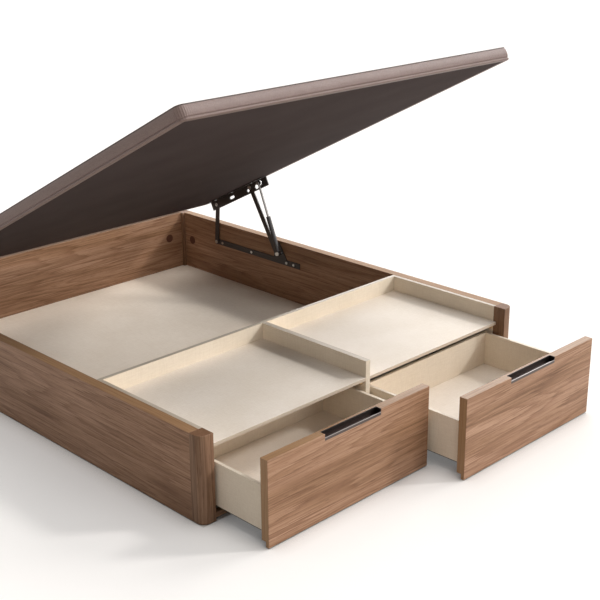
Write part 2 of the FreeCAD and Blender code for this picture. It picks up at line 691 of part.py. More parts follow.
def arm(name, side, length):
    """A flat arm with round ends and a hole at each end."""
    x = span(side, LAYER, f"{LAYER} + link_thick", SIDE_IN, -1)
    ends = (("0", "0"), (length, "0"))
    flat = [block(f"{name}_flat", x, ("0", length), ("-link_width / 2", "link_width / 2"))]
    flat += [rod(f"{name}_end_{n}", "x", x, centre, "link_width / 2") for n, centre in enumerate(ends)]
    holes = [rod(f"{name}_hole_{n}", "x", x, centre, HOLE) for n, centre in enumerate(ends)]
    return cut(name, fuse(f"{name}_blank", flat), holes)


for side, word in SIDES:
    # Base bar with a gusset that carries the front pivot and the lower strut pin
    name = f"lift_base_{word}"
    x = span(side, "0", "link_thick", SIDE_IN, -1)
    bar = block(
        f"{name}_bar", x, (f"{FRONT_PIVOT[0]} - base_nose", f"{REAR_PIVOT[0]} + link_width / 2"),
        (f"{REAR_PIVOT[1]} - link_width / 2", f"{REAR_PIVOT[1]} + link_width / 2"),
    )
    gusset = doc.addObject("Part::Wedge", f"{name}_gusset")
    gusset.Placement = FreeCAD.Placement(FreeCAD.Vector(), FreeCAD.Rotation(FreeCAD.Vector(1, 1, 1), 120))
    low = "(strut_ahead + 1.5 * link_width)"
    edges = {
        "Xmin": "0", "Xmax": f"{low} + link_width",
        "X2min": f"{low} - link_width / 2", "X2max": f"{low} + link_width / 2",
        "Ymin": "0", "Ymax": "rear_pivot_drop - gusset_gap",
        "Zmin": "0", "Zmax": "link_thick", "Z2min": "0", "Z2max": "link_thick",
    }
    for edge, formula in edges.items():
        gusset.setExpression(edge, bound(formula))
    for axis, place in zip("xyz", (x[0], f"{FRONT_PIVOT[0]} - {low}", REAR_PIVOT[1])):
        gusset.setExpression(f"Placement.Base.{axis}", bound(place))
    holes = [
        rod(f"{name}_hole_{n}", "x", x, centre, HOLE)
        for n, centre in enumerate((REAR_PIVOT, FRONT_PIVOT, STRUT_PIVOT))
    ]
    holes += [
        rod(
            f"{name}_screw_hole_{n}", "x", x, (REAR_PIVOT[0] - back, REAR_PIVOT[1]),
            "screw_radius + bore_fit",
        )
        for n, back in enumerate(BASE_SCREWS)
    ]
    keep(cut(name, fuse(f"{name}_blank", [bar, gusset]), holes))
    arm_face = f"({LAYER} + link_thick + head_gap)"
    base_pins += [
        pin(f"rear_pin_{word}", side, "0", arm_face, REAR_PIVOT, "pin_head"),
        pin(f"front_pin_{word}", side, "0", arm_face, FRONT_PIVOT, "pin_head"),
        pin(f"strut_pin_{word}", side, "0", f"({EYE[1]} + head_gap)", STRUT_PIVOT, "pin_head"),
    ]

    keep(arm(f"rear_arm_{word}", side, REAR_LENGTH), rear_place)
    keep(arm(f"front_arm_{word}", side, FRONT_LENGTH), front_place)
    arm_pins.append(pin(
        f"arm_pin_{word}", side, LAYER, f"({BRACKET_FACE} + head_gap)", (FRONT_LENGTH, "0"), "slot_head"
    ))

    # Bracket under the lid with slots for the pins of the front arm and the strut
    name = f"lid_bracket_{word}"
    x = span(side, f"2 * {LAYER}", BRACKET_FACE, SIDE_IN, -1)
    reach = (f"{STRUT_PIN[0]} - bracket_nose", f"{LID_PIVOT[0]} + bracket_tail")
    flange_x = span(side, f"2 * {LAYER}", f"2 * {LAYER} + flange_width", SIDE_IN, -1)
    blank = fuse(f"{name}_blank", [
        block(f"{name}_plate", x, reach, ("-bracket_height", "0")),
        block(f"{name}_flange", flange_x, reach, ("-flange_thick", "0")),
    ])
    window_middle = f"({LID_PIVOT[0]} - window_back)"
    window = (f"{window_middle} - window_length / 2", f"{window_middle} + window_length / 2")
    holes = [
        rod(f"{name}_hole", "x", x, LID_PIVOT, HOLE),
        slot(f"{name}_arm_slot", x, arm_path),
        slot(f"{name}_strut_slot", x, strut_path),
        block(
            f"{name}_window", x, window,
            (f"{LID_PIVOT[1]} - window_radius", f"{LID_PIVOT[1]} + window_radius"),
        ),
    ]
    holes += [
        rod(f"{name}_window_{n}", "x", x, (place, LID_PIVOT[1]), "window_radius")
        for n, place in enumerate(window)
    ]
    screw_x = f"{side} * ({SIDE_IN} - 2 * {LAYER} - 2 * flange_width / 3)"
    for number, back in enumerate(BRACKET_SCREWS, 1):
        screw = f"bracket_screw_{word}_{number}"
        centre = (screw_x, LID_PIVOT[0] - back)
        shank = ("-flange_thick", "screw_reach")
        bracket_screws.append(fuse(screw, [
            rod(f"{screw}_shank", "z", shank, centre, "screw_radius"),
            rod(
                f"{screw}_head", "z", ("-flange_thick - head_thick", "-flange_thick"), centre, "screw_head"
            ),
        ]))
        bore = rod(f"{screw}_bore", "z", shank, centre, "screw_radius + bore_fit")
        holes.append(bore)
        lid_bores.append(bore)
    keep(cut(name, blank, holes), lid_place)
    lid_pins.append(pin(
        f"lid_pin_{word}", side, LAYER, f"({BRACKET_FACE} + head_gap)", LID_PIVOT, "pin_head"
    ))

    # Gas strut, drawn along Y from its lower pin: cylinder with an eye, rod with an eye and a pin
    name = f"strut_cylinder_{word}"
    eye_x = span(side, EYE[0], EYE[1], SIDE_IN, -1)
    line = (f"{side} * ({SIDE_IN} - strut_offset)", "0")
    blank = fuse(f"{name}_blank", [
        rod(f"{name}_tube", "y", ("1.5 * eye_radius", "tube_length"), line, "tube_radius"),
        rod(f"{name}_neck", "y", ("0", "2 * eye_radius"), line, "stem_radius"),
        rod(f"{name}_eye", "x", eye_x, ("0", "0"), "eye_radius"),
    ])
    keep(cut(name, blank, [
        rod(f"{name}_hole", "x", eye_x, ("0", "0"), HOLE),
        rod(
            f"{name}_bore", "y", ("stem_floor - eye_radius", "tube_length"), line, "stem_radius + stem_fit"
        ),
    ]), strut_place)
    name = f"strut_rod_{word}"
    stem = (STRUT_OPEN[0] - STRUT_CLOSED[0] + mm("stem_floor"), STRUT_OPEN[0])
    blank = fuse(f"{name}_blank", [
        rod(f"{name}_stem", "y", stem, line, "stem_radius"),
        rod(f"{name}_eye", "x", eye_x, (STRUT_OPEN[0], "0"), "eye_radius"),
    ])
    keep(cut(name, blank, [rod(f"{name}_hole", "x", eye_x, (STRUT_OPEN[0], "0"), HOLE)]), strut_place)
    strut_pins.append(pin(
        f"upper_strut_pin_{word}", side, f"(2 * {LAYER} + head_gap)", f"({EYE[1]} + head_gap)",
        (STRUT_OPEN[0], "0"), "pin_head",
    ))
keep(group("lift_base_pins", base_pins))
keep(group("lid_pivot_pins", lid_pins), lid_place)
keep(group("front_arm_pins", arm_pins), front_place)
keep(group("strut_pins", strut_pins), strut_place)
keep(group("lid_bracket_screws", bracket_screws), lid_place)

# Lid, drawn flat and then placed open: cloth, frame of rails and slats, board, cover with thin padding
LID_HALF = "(box_width / 2 - lid_side_margin)"
CORE_HALF = "(box_width / 2 - lid_side_margin - lid_wrap)"
LID_END = "(box_length - 2 * lid_end_margin)"
CORE_RUN = ("lid_wrap", f"({LID_END} - lid_wrap)")
RAIL_IN = f"({CORE_HALF} - lid_rail)"
FRAME = ("lid_cloth", "(lid_thick - lid_pad - lid_board_thick)")
BOARD = (FRAME[1], "(lid_thick - lid_pad)")
CORE_X = (f"-{CORE_HALF}", CORE_HALF)
core_corner = mm("lid_corner") - mm("lid_wrap")


def slab(name, x, y, z, radius):
    """A flat slab with round corners in plan."""
    flat = block(f"{name}_flat", x, y, z)
    return rounded(f"{name}_slab", flat, radius, upright)


cloth = slab("lid_underside", CORE_X, CORE_RUN, ("0", "lid_cloth"), core_corner)
keep(cut("lid_underside", cloth, lid_bores), lid_place)

rails = []
for side, word in SIDES:
    name = f"lid_rail_{word}"
    flat = block(f"{name}_flat", span(side, RAIL_IN, CORE_HALF), CORE_RUN, FRAME)
    doc.recompute()
    outer = side * (mm("box_width") / 2 - mm("lid_side_margin") - mm("lid_wrap"))
    rail = rounded(
        f"{name}_round", flat, core_corner,
        lambda edge: upright(edge) and abs(edge.CenterOfMass.x - outer) < TOUCH,
    )
    rails.append(cut(name, rail, [bore for bore in lid_bores if word in bore.Label]))
SLATS = ("lid_wrap + lid_rail / 2", f"{LID_END} / 4", f"{LID_END} / 2", f"3 * {LID_END} / 4",
         f"{LID_END} - lid_wrap - lid_rail / 2")
for number, middle in enumerate(SLATS, 1):
    rails.append(block(
        f"lid_slat_{number}", (f"-{RAIL_IN}", RAIL_IN),
        (f"{middle} - lid_rail / 2", f"{middle} + lid_rail / 2"), FRAME,
    ))
keep(group("lid_frame", rails), lid_place)

keep(rounded(
    "lid_board", block("lid_board_flat", CORE_X, CORE_RUN, BOARD), core_corner, upright
), lid_place)

cover = slab("lid_cover", (f"-{LID_HALF}", LID_HALF), ("0", LID_END), ("0", "lid_thick"), mm("lid_corner"))
upper = rounded("lid_cover_upper", cover, mm("lid_edge"), topmost(cover))
doc.recompute()
hem = rounded("lid_cover_hem", upper, mm("lid_hem"), lambda edge: edge.BoundBox.ZMax < TOUCH)
core = slab("lid_core", CORE_X, CORE_RUN, ("-lid_hem", "lid_thick - lid_pad"), core_corner)
keep(cut("lid_cover", hem, [core]), lid_place)

# Check every object, then write one file for each piece
doc.recompute()
for item in doc.Objects:
    if "Invalid" in item.State or "Error" in item.State:
        raise RuntimeError(f"{item.Label} did not build")
os.makedirs("parts", exist_ok=True)
for piece in pieces:
    if piece.Shape.isNull() or not piece.Shape.isValid():
        raise RuntimeError(f"{piece.Label} is not a valid solid")
    piece.Shape.exportStep(f"parts/{piece.Label}.step")
print(len(pieces), "pieces written")
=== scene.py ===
import bpy
import math
from mathutils import Matrix, Vector


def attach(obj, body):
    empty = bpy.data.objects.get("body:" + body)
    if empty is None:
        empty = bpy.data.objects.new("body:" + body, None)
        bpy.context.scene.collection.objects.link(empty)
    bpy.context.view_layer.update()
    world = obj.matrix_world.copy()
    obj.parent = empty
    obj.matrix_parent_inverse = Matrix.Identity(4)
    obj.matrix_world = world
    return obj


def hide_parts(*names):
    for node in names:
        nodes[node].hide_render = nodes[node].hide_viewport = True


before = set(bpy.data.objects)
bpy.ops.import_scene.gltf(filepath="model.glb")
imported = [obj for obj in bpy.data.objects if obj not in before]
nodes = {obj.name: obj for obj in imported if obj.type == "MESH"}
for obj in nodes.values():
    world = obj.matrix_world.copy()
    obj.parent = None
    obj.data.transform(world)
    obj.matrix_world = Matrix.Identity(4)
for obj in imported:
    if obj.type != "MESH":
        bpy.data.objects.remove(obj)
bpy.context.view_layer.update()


# Side panels, head panel, corner posts and front rail of the box.
# 38 mm chipboard faced with a walnut print melamine paper; the posts are wrapped round their outer corner.
# Cam fittings pull the panels against the posts, so only thin joint lines show.

ACROSS, LENGTHWISE, UP = 0, 1, 2
WALNUT = ("#977356", "#a88366", "#b28d71", "#bc977c")
# The posts' darker walnut is partly their own tone and partly painted shade
DARKER_AND_SHADED_WALNUT = ("#82634b", "#907157", "#997961", "#a2826b")
ORANGE_TAPE = ("#8a6748", "#a37f5d")
# Colours of the head panel's upper edge: painted shade, darker than its tape
PAINTED_SHADE_EDGE = ("#574231", "#654d3a")
POST_TOP = ("#6b4c36", "#7c5a42")
GROWTH_LINES = 9
PRINT_STRENGTH = 0.9
FACING = 0.9


def linear(colour):
    """An sRGB hex colour as linear RGBA."""
    parts = [int(colour[i:i + 2], 16) / 255 for i in (1, 3, 5)]
    return [c / 12.92 if c <= 0.04045 else ((c + 0.055) / 1.055) ** 2.4 for c in parts] + [1]


def add(tree, kind, sockets, out=0, stops=(), **settings):
    """Adds a shader node with its settings and gives one of its outputs. A socket takes a value or another
    node's output; stops are the places and colours of a colour ramp."""
    node = tree.nodes.new("ShaderNode" + kind)
    for name, value in settings.items():
        setattr(node, name, value)
    for name, value in sockets.items():
        if isinstance(value, bpy.types.NodeSocket):
            tree.links.new(value, node.inputs[name])
        else:
            node.inputs[name].default_value = value
    if stops:
        elements = node.color_ramp.elements
        while len(elements) < len(stops):
            elements.new(1)
        for element, (position, colour) in zip(elements, stops):
            element.position = position
            element.color = linear(colour)
    return node.outputs[out]


def start_material(name):
    """An empty material, its node tree and its object coordinates."""
    material = bpy.data.materials.new(name)
    material.use_nodes = True
    tree = material.node_tree
    tree.nodes.clear()
    return material, tree, add(tree, "TexCoord", {}, out="Object")


def finish(tree, surface, kind="Material"):
    """Joins a shader to the output of a material or a world."""
    output = tree.nodes.new("ShaderNodeOutput" + kind)
    tree.links.new(surface, output.inputs["Surface"])


def grain(along, width_mm, stretch):
    """Scale of a pattern with a width in millimetres, drawn out along one axis."""
    scale = [1000 / width_mm] * 3
    scale[along] /= stretch
    return scale


def paint(names, material):
    """Gives CAD nodes a material."""
    for name in names:
        slots = nodes[name].data.materials
        slots.clear()
        slots.append(material)


def faces_along(tree, axis):
    """1 on faces that look up, or to either end along another axis, 0 elsewhere: the edges with tape."""
    normal = add(tree, "NewGeometry", {}, out="Normal")
    share = add(tree, "SeparateXYZ", {"Vector": normal}, out="XYZ"[axis])
    if axis != UP:
        share = add(tree, "Math", {0: share}, operation="ABSOLUTE")
    return add(tree, "Math", {0: share, 1: FACING}, operation="GREATER_THAN")


def walnut_melamine(name, along, board, upper_edge, edge_roughness):
    """Walnut print melamine: satin paper with arched growth lines, thin streaks and short dark pores.
    The tape on upper edges is plainer, and the tape on the ends has upright streaks."""
    material, tree, place = start_material(name)
    figure = add(tree, "TexNoise", {
        "Vector": add(tree, "Mapping", {"Vector": place, "Scale": grain(along, 70, 9)}),
        "Scale": 1, "Detail": 3, "Roughness": 0.5, "Distortion": 0.5,
    })
    streak, upright_streak = (
        add(tree, "TexNoise", {
            "Vector": add(tree, "Mapping", {"Vector": place, "Scale": grain(axis, 4, 55)}),
            "Scale": 1, "Detail": 5, "Roughness": 0.62,
        })
        for axis in (along, UP)
    )
    # Growth lines follow the level lines of a smooth field, so they close in arches as in flat sawn veneer
    field = add(tree, "TexNoise", {
        "Vector": add(tree, "Mapping", {"Vector": place, "Scale": grain(along, 95, 11)}),
        "Scale": 1, "Detail": 1, "Distortion": 0.1,
    })
    growth = add(tree, "Math", {0: field, 1: GROWTH_LINES, 2: streak}, operation="MULTIPLY_ADD")
    growth = add(tree, "Math", {0: growth}, operation="FRACT")
    # Pores are 0.3 mm wide; drawn at 1.6 mm so that they show
    pores = add(tree, "TexNoise", {
        "Vector": add(tree, "Mapping", {"Vector": place, "Scale": grain(along, 1.6, 26)}),
        "Scale": 1, "Detail": 2, "Roughness": 0.5,
    })
    colour = add(tree, "ValToRGB", {"Fac": figure}, stops=list(zip((0.30, 0.44, 0.56, 0.70), board)))
    arches = add(tree, "ValToRGB", {"Fac": growth}, stops=[
        (0.0, "#ffffff"), (0.6, "#f6f3f0"), (0.88, "#d6cbc2"), (1.0, "#ffffff"),
    ])
    lines = add(tree, "ValToRGB", {"Fac": streak}, stops=[
        (0.36, "#c8bdb4"), (0.52, "#f0ebe7"), (0.64, "#ffffff"),
    ])
    dots = add(tree, "ValToRGB", {"Fac": pores}, stops=[(0.28, "#c4b9b0"), (0.42, "#ffffff")])
    # A Mix node takes colours at its sockets 6 and 7 and gives them at its output 2
    for shade in (arches, lines, dots):
        colour = add(tree, "Mix", {
            0: PRINT_STRENGTH, 6: colour, 7: shade,
        }, out=2, data_type="RGBA", blend_type="MULTIPLY")
    end_tape = add(tree, "ValToRGB", {"Fac": upright_streak}, stops=[(0.36, "#94714f"), (0.64, "#a98562")])
    ends = faces_along(tree, along)
    colour = add(tree, "Mix", {0: ends, 6: colour, 7: end_tape}, out=2, data_type="RGBA")
    # On the head panel the upper edge's colour is painted shade
    tape = add(tree, "ValToRGB", {"Fac": streak}, stops=list(zip((0.36, 0.64), upper_edge)))
    taped = faces_along(tree, UP)
    colour = add(tree, "Mix", {0: taped, 6: colour, 7: tape}, out=2, data_type="RGBA")
    roughness = add(tree, "MapRange", {"Value": streak, "To Min": 0.5, "To Max": 0.38})
    roughness = add(tree, "Math", {0: taped, 1: edge_roughness, 2: roughness}, operation="MULTIPLY_ADD")
    relief = add(tree, "Bump", {"Height": pores, "Strength": 0.12, "Distance": 0.0004})
    finish(tree, add(tree, "BsdfPrincipled", {
        "Base Color": colour, "Roughness": roughness, "Normal": relief, "Specular IOR Level": 0.28,
    }))
    return material


lengthwise_walnut = walnut_melamine("walnut_melamine_lengthwise", LENGTHWISE, WALNUT, ORANGE_TAPE, 0.12)
crosswise_walnut = walnut_melamine("walnut_melamine_crosswise", ACROSS, WALNUT, ORANGE_TAPE, -0.08)
# The head panel's upper edge is drawn dark as painted shade under the lid, and the wrap of the posts is
# drawn darker, partly its own tone and partly painted shade
shade_painted_walnut = walnut_melamine("walnut_melamine_stained_edge", ACROSS, WALNUT, PAINTED_SHADE_EDGE, 0.4)
upright_walnut = walnut_melamine("walnut_melamine_upright", UP, DARKER_AND_SHADED_WALNUT, POST_TOP, 0.12)
sides = ("left", "right")
paint([f"side_panel_{side}" for side in sides], lengthwise_walnut)
paint(["head_panel"], shade_painted_walnut)
paint(["front_rail"], crosswise_walnut)
paint([f"post_{end}_{side}" for end in ("front", "rear") for side in sides], upright_walnut)


# Cross panel, divider, cheeks and trays of the drawer module, and the storage floor.
# 10 to 22 mm chipboard with a linen print melamine, cut square and edged with thin tape.
# They stand on the floor or rest on cleats and battens.

EDGE_EASE = 0.0008
EASE_STEPS = 2
EASED_ANGLE = math.radians(40)
WELD_REACH = 0.00001
SAND_PRINT = ("#e9dbc6", "#efe1cd")
CREAM_TAPE = ("#cdbda9", "#d5c5b2")


def linen_melamine(name, print_colours, tape_colours, tape_axis):
    """Linen print melamine: matt paper with faint crossed threads and a little warm and cool drift.
    The tape on a standing board's upper edge or a lying board's end edges has more gloss and a colour
    given by the caller; on the standing boards that colour carries painted shade, on the drawer walls a
    painted highlight."""
    material, tree, place = start_material(name)
    # Printed threads are 0.5 mm apart; drawn at 3 mm so that they show
    threads = [
        add(tree, "TexNoise", {
            "Vector": add(tree, "Mapping", {"Vector": place, "Scale": grain(along, 3, 12)}),
            "Scale": 1, "Detail": 3, "Roughness": 0.6,
        })
        for along in (ACROSS, LENGTHWISE, UP)
    ]
    weave = add(tree, "Math", {0: threads[0], 1: threads[1]}, operation="ADD")
    weave = add(tree, "Math", {0: weave, 1: threads[2]}, operation="ADD")
    weave = add(tree, "MapRange", {"Value": weave, "From Min": 1.1, "From Max": 1.9})
    # Drift of the print's colour over 200 mm
    drift = add(tree, "TexNoise", {"Vector": place, "Scale": 1000 / 200, "Detail": 2})
    cloud = add(tree, "ValToRGB", {"Fac": drift}, stops=list(zip((0.35, 0.65), print_colours)))
    thread = add(tree, "ValToRGB", {"Fac": weave}, stops=[(0.2, "#f6f4f2"), (0.8, "#ffffff")])
    colour = add(tree, "Mix", {0: 1.0, 6: cloud, 7: thread}, out=2, data_type="RGBA", blend_type="MULTIPLY")
    tape = add(tree, "ValToRGB", {"Fac": drift}, stops=list(zip((0.35, 0.65), tape_colours)))
    taped = faces_along(tree, tape_axis)
    colour = add(tree, "Mix", {0: taped, 6: colour, 7: tape}, out=2, data_type="RGBA")
    roughness = add(tree, "MapRange", {"Value": taped, "To Min": 0.55, "To Max": 0.35})
    relief = add(tree, "Bump", {"Height": weave, "Strength": 0.08, "Distance": 0.0003})
    finish(tree, add(tree, "BsdfPrincipled", {
        "Base Color": colour, "Roughness": roughness, "Normal": relief, "Specular IOR Level": 0.27,
    }))
    return material


def ease_edges(names):
    """Breaks the sharp edges of boards, as edge tape and sanding do."""
    for name in names:
        weld = nodes[name].modifiers.new("weld", "WELD")
        weld.merge_threshold = WELD_REACH
        bevel = nodes[name].modifiers.new("ease", "BEVEL")
        bevel.width = EDGE_EASE
        bevel.segments = EASE_STEPS
        bevel.limit_method = "ANGLE"
        bevel.angle_limit = EASED_ANGLE


standing_boards = ["cross_panel", "centre_divider", "cheek_left", "cheek_right"]
trays = ["tray_left", "tray_right"]
storage_floor = ["storage_floor"]
# The darker tape on the standing boards' upper edges is partly painted shade from the lid above
sand_linen = linen_melamine("sand_linen_melamine", SAND_PRINT, ("#bdae9c", "#c6b8a6"), UP)
cream_linen = linen_melamine("cream_linen_melamine", ("#ebdfd0", "#f1e6d9"), CREAM_TAPE, LENGTHWISE)
# The storage floor's paler linen is painted light, for the light that reaches under the lid
light_painted_linen = linen_melamine("ivory_linen_melamine", ("#f5e7d5", "#faeddc"), CREAM_TAPE, LENGTHWISE)
paint(standing_boards, sand_linen)
paint(trays, cream_linen)
paint(storage_floor, light_painted_linen)
ease_edges(standing_boards + trays + storage_floor)


# Battens under the storage floor, cleats under the trays, and the frame and board inside the lid.
# Planed pine strips and a thin pine board, screwed on and left raw.

def planed_pine():
    """Raw pine: pale yellow wood with soft brown growth lines, dull from the planer."""
    material, tree, place = start_material("planed_pine")
    growth = add(tree, "TexNoise", {
        "Vector": add(tree, "Mapping", {"Vector": place, "Scale": grain(ACROSS, 7, 40)}),
        "Scale": 1, "Detail": 4, "Distortion": 0.5,
    })
    colour = add(tree, "ValToRGB", {"Fac": growth}, stops=[
        (0.35, "#b98d55"), (0.55, "#d9b47d"), (0.7, "#e4c797"),
    ])
    relief = add(tree, "Bump", {"Height": growth, "Strength": 0.15, "Distance": 0.0005})
    finish(tree, add(tree, "BsdfPrincipled", {
        "Base Color": colour, "Roughness": 0.68, "Normal": relief, "IOR": 1.5,
    }))
    return material


paint(["floor_battens", "tray_cleats", "lid_frame", "lid_board"], planed_pine())


# Cam fittings in the panel ends, their round covers, and the floor glides.
# Cast zinc cams with steel dowels; moulded covers push in over the cams; glides are nailed under the boards.

def moulded_plastic(name, colours, roughness):
    """Moulded plastic: even colour, a fine spark-eroded grain and a soft gloss."""
    material, tree, place = start_material(name)
    # Mould grain is 0.1 mm; drawn at 0.6 mm so that it shows
    pitting = add(tree, "TexNoise", {"Vector": place, "Scale": 1000 / 0.6, "Detail": 2})
    colour = add(tree, "ValToRGB", {"Fac": pitting}, stops=list(zip((0.3, 0.7), colours)))
    relief = add(tree, "Bump", {"Height": pitting, "Strength": 0.15, "Distance": 0.0001})
    finish(tree, add(tree, "BsdfPrincipled", {
        "Base Color": colour, "Roughness": roughness, "Normal": relief, "IOR": 1.46,
    }))
    return material


def plated_steel(name, colours, roughness, streak_mm):
    """Plated steel: bright metal, a little streaked from the bath and the rolling of the sheet."""
    material, tree, place = start_material(name)
    streak = add(tree, "TexNoise", {
        "Vector": add(tree, "Mapping", {"Vector": place, "Scale": grain(LENGTHWISE, streak_mm, 8)}),
        "Scale": 1, "Detail": 3,
    })
    colour = add(tree, "ValToRGB", {"Fac": streak}, stops=list(zip((0.35, 0.65), colours)))
    gloss = add(tree, "MapRange", {"Value": streak, "To Min": roughness - 0.06, "To Max": roughness + 0.08})
    finish(tree, add(tree, "BsdfPrincipled", {"Base Color": colour, "Metallic": 1.0, "Roughness": gloss}))
    return material


zinc = plated_steel("zinc_plated_steel", ("#b4b6b8", "#d0d2d3"), 0.3, 2.0)
paint(["cam_fittings"], zinc)
paint(["cam_covers"], moulded_plastic("brown_polyethylene", ("#54301f", "#603a2a"), 0.5))
paint(["floor_glides"], moulded_plastic("grey_polyethylene", ("#5c5a58", "#686664"), 0.55))


# Drawer fronts and the pulls set into their upper edge.
# 30 mm walnut board with a milled recess; the pull is folded steel sheet, plated dark and glued in.

RECESS_DEPTH = 0.03
LIP_FRONT = 0.1


def gunmetal_plate():
    """Gunmetal plated steel: dark warm grey metal, finely brushed along the pull, with painted shade in the
    recess and a painted highlight along the rim of the front lip."""
    material, tree, place = start_material("gunmetal_plate")
    # Brush marks are 0.1 mm wide; drawn at 0.5 mm so that they show
    brushing = add(tree, "TexNoise", {
        "Vector": add(tree, "Mapping", {"Vector": place, "Scale": grain(ACROSS, 0.5, 80)}),
        "Scale": 1, "Detail": 3,
    })
    colour = add(tree, "ValToRGB", {"Fac": brushing}, stops=[(0.3, "#5a5250"), (0.7, "#645b58")])
    # Ambient occlusion darkens the colour in the recess: painted shade
    painted_recess_shade = add(tree, "AmbientOcclusion", {"Distance": RECESS_DEPTH}, out="AO", samples=4)
    shade = add(tree, "ValToRGB", {"Fac": painted_recess_shade}, stops=[
        (0.3, "#a59e9b"), (0.6, "#d8d2cf"), (0.95, "#ffffff"),
    ])
    colour = add(tree, "Mix", {0: 1.0, 6: colour, 7: shade}, out=2, data_type="RGBA", blend_type="MULTIPLY")
    # In shares of the pull's own height and depth, the lip is the lower 0.48 and the front tenth
    share = add(tree, "TexCoord", {}, out="Generated")
    height = add(tree, "SeparateXYZ", {"Vector": share}, out="Z")
    depth = add(tree, "SeparateXYZ", {"Vector": share}, out="Y")
    rim = add(tree, "ValToRGB", {"Fac": height}, stops=[
        (0.37, "#000000"), (0.41, "#ffffff"), (0.48, "#ffffff"), (0.5, "#000000"),
    ])
    in_front = add(tree, "Math", {0: depth, 1: LIP_FRONT}, operation="LESS_THAN")
    painted_lip_highlight = add(tree, "Math", {0: rim, 1: in_front}, operation="MULTIPLY")
    # The paler colour on the front lip's rim is a painted highlight
    colour = add(tree, "Mix", {0: painted_lip_highlight, 6: colour, 7: linear("#b4aeac")}, out=2, data_type="RGBA")
    relief = add(tree, "Bump", {"Height": brushing, "Strength": 0.02, "Distance": 0.0001})
    finish(tree, add(tree, "BsdfPrincipled", {
        "Base Color": colour, "Metallic": 1.0, "Roughness": 0.34, "Normal": relief,
    }))
    return material


drawers = ("drawer_left", "drawer_right")
paint([f"{drawer}_front" for drawer in drawers], crosswise_walnut)
paint([f"{drawer}_handle" for drawer in drawers], gunmetal_plate())


# Drawer boxes and their roller runners.
# 12 mm linen melamine sides and back, with a thin bottom in grooves.
# Below them are steel rails and channels, drawn black, screwed on, with nylon rollers; they show as a dark
# line under the drawer sides.

def powder_coat():
    """Black powder coat: near black, a fine orange peel that softens its highlights."""
    material, tree, place = start_material("black_powder_coat")
    # Orange peel is 1 mm; drawn at 1.5 mm so that it shows
    peel = add(tree, "TexNoise", {"Vector": place, "Scale": 1000 / 1.5, "Detail": 2})
    colour = add(tree, "ValToRGB", {"Fac": peel}, stops=[(0.3, "#292423"), (0.7, "#352f2e")])
    relief = add(tree, "Bump", {"Height": peel, "Strength": 0.2, "Distance": 0.0003})
    finish(tree, add(tree, "BsdfPrincipled", {
        "Base Color": colour, "Roughness": 0.4, "Normal": relief, "IOR": 1.5,
    }))
    return material


drawer_walls = [f"{drawer}_{piece}" for drawer in drawers for piece in ("sides", "back")]
drawer_bottoms = [f"{drawer}_bottom" for drawer in drawers]
# The pale tape on the drawer walls' upper edges is a painted highlight
paint(drawer_walls, linen_melamine("pale_edged_linen_melamine", SAND_PRINT, ("#d9cab6", "#e1d3c0"), UP))
paint(drawer_bottoms, cream_linen)
ease_edges(drawer_walls + drawer_bottoms)
black_steel = powder_coat()
paint([f"{drawer}_rails" for drawer in drawers], black_steel)
paint([f"runner_channels_{side}" for side in sides], black_steel)
nylon = moulded_plastic("white_nylon", ("#d9d6cd", "#e6e3da"), 0.4)
paint([f"{drawer}_{end}_rollers" for drawer in drawers for end in ("front", "rear")], nylon)


# Lift mechanism: base bars, arms, lid brackets, pins, screws and gas struts.
# Punched steel bars with black powder coat, zinc plated fasteners and a chromed strut rod.
# The bars are screwed to the side panels and to the lid's frame.

plates = ("lift_base", "rear_arm", "front_arm", "lid_bracket", "strut_cylinder")
paint([f"{plate}_{side}" for plate in plates for side in sides], black_steel)
paint([
    "lift_base_screws", "lift_base_pins", "front_arm_pins",
    "lid_pivot_pins", "lid_bracket_screws", "strut_pins",
], zinc)
chrome = plated_steel("hard_chrome", ("#736f6d", "#8a8785"), 0.24, 1.0)
paint([f"strut_rod_{side}" for side in sides], chrome)


# Cover of the lid: a faux leather border and a padded top in one sewn piece.
# Coated fabric is pulled over a wooden frame, sewn to the top with a piping, and rolled under along the
# lower edge, where it is stapled. At the corners it is gathered in small pleats.

LID_CORNER = 0.024
SMALLEST_CORNER = 0.004
CORNER_STEPS = 36
GATHER_REACH = 0.045
GATHER_STEPS = 28
LENGTH_STEPS, WIDTH_STEPS = 92, 72


def cad_points(name):
    """The points of a CAD node's mesh, which stand in the shared frame."""
    return [vertex.co for vertex in nodes[name].data.vertices]


# The CAD cover gives the open lid's lean, by its widest face, and its size and place
widest_face = max(nodes["lid_cover"].data.polygons, key=lambda face: face.area)
lid_lean = math.atan2(abs(widest_face.normal.y), abs(widest_face.normal.z))
lid_turn = Matrix.Rotation(-lid_lean, 4, "X")
levelled = [lid_turn.inverted() @ point for point in cad_points("lid_cover")]
foot_end = min(point.y for point in levelled)
underside = min(point.z for point in levelled)
lid_to_world = lid_turn @ Matrix.Translation((0, foot_end, underside))
# Its half width and length, to a tenth of a millimetre
LID_HALF = round(max(point.x for point in levelled), 4)
LID_LENGTH = round(max(point.y for point in levelled) - foot_end, 4)


